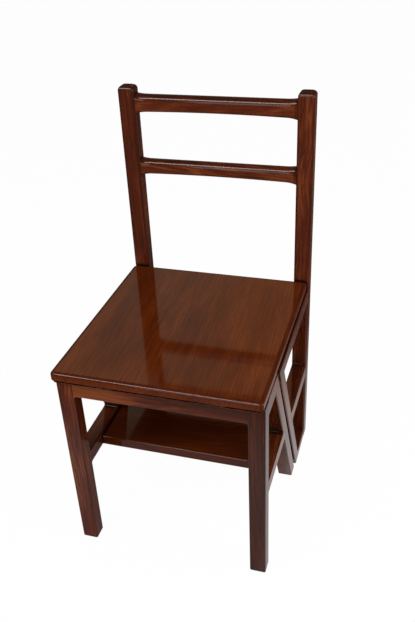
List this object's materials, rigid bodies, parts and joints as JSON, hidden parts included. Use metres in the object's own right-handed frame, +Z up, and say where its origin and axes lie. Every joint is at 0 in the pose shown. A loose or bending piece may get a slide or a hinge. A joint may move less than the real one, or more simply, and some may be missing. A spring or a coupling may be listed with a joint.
{
  "type": "folding step stool chair",
  "caption": "Wooden chair whose seat, back and rear legs flip forward on hinges to make a step ladder.",
  "frame": {"origin": "on the floor under the middle of the chair's bounding box", "axes": "+X to the viewer's right, -Y is the chair's front, +Z up"},
  "size_m": [0.42, 0.486, 0.877],
  "materials": {
    "frame_wood": "polished dark hardwood",
    "board_wood": "glossy lacquered dark hardwood",
    "brass": "aged satin"
  },
  "bodies": {
    "front_section": {"front_leg_left": "frame_wood", "front_leg_right": "frame_wood", "front_diagonal_leg_left": "frame_wood", "front_diagonal_leg_right": "frame_wood", "front_top_rail_left": "frame_wood", "front_top_rail_right": "frame_wood", "front_lower_rail_left": "frame_wood", "front_lower_rail_right": "frame_wood", "front_apron": "frame_wood", "lower_tread": "board_wood", "middle_tread": "board_wood", "hinge_lower_leaf_left": "brass", "hinge_pin_left": "brass", "hinge_lower_screw_left_1": "brass", "hinge_lower_screw_left_2": "brass", "hinge_lower_screw_left_3": "brass", "hinge_lower_leaf_right": "brass", "hinge_pin_right": "brass", "hinge_lower_screw_right_1": "brass", "hinge_lower_screw_right_2": "brass", "hinge_lower_screw_right_3": "brass"},
    "folding_section": {"back_post_left": "frame_wood", "back_post_right": "frame_wood", "rear_diagonal_left": "frame_wood", "rear_diagonal_right": "frame_wood", "seat_side_rail_left": "frame_wood", "seat_side_rail_right": "frame_wood", "upper_step_rail_left": "frame_wood", "upper_step_rail_right": "frame_wood", "bottom_rail_left": "frame_wood", "bottom_rail_right": "frame_wood", "seat_board": "board_wood", "seat_back_rail": "frame_wood", "upper_step_tread": "board_wood", "bottom_step_tread": "board_wood", "back_top_rail": "frame_wood", "back_lower_rail": "frame_wood", "hinge_upper_leaf_left": "brass", "hinge_upper_screw_left_1": "brass", "hinge_upper_screw_left_2": "brass", "hinge_upper_screw_left_3": "brass", "hinge_upper_leaf_right": "brass", "hinge_upper_screw_right_1": "brass", "hinge_upper_screw_right_2": "brass", "hinge_upper_screw_right_3": "brass"}
  },
  "joints": [
    {"name": "seat_fold", "type": "hinge", "parent": "front_section", "child": "folding_section", "pos_m": [0, -0.2369, 0.4346], "axis": [1, 0, 0], "range_deg": [0, 178.9]}
  ]
}
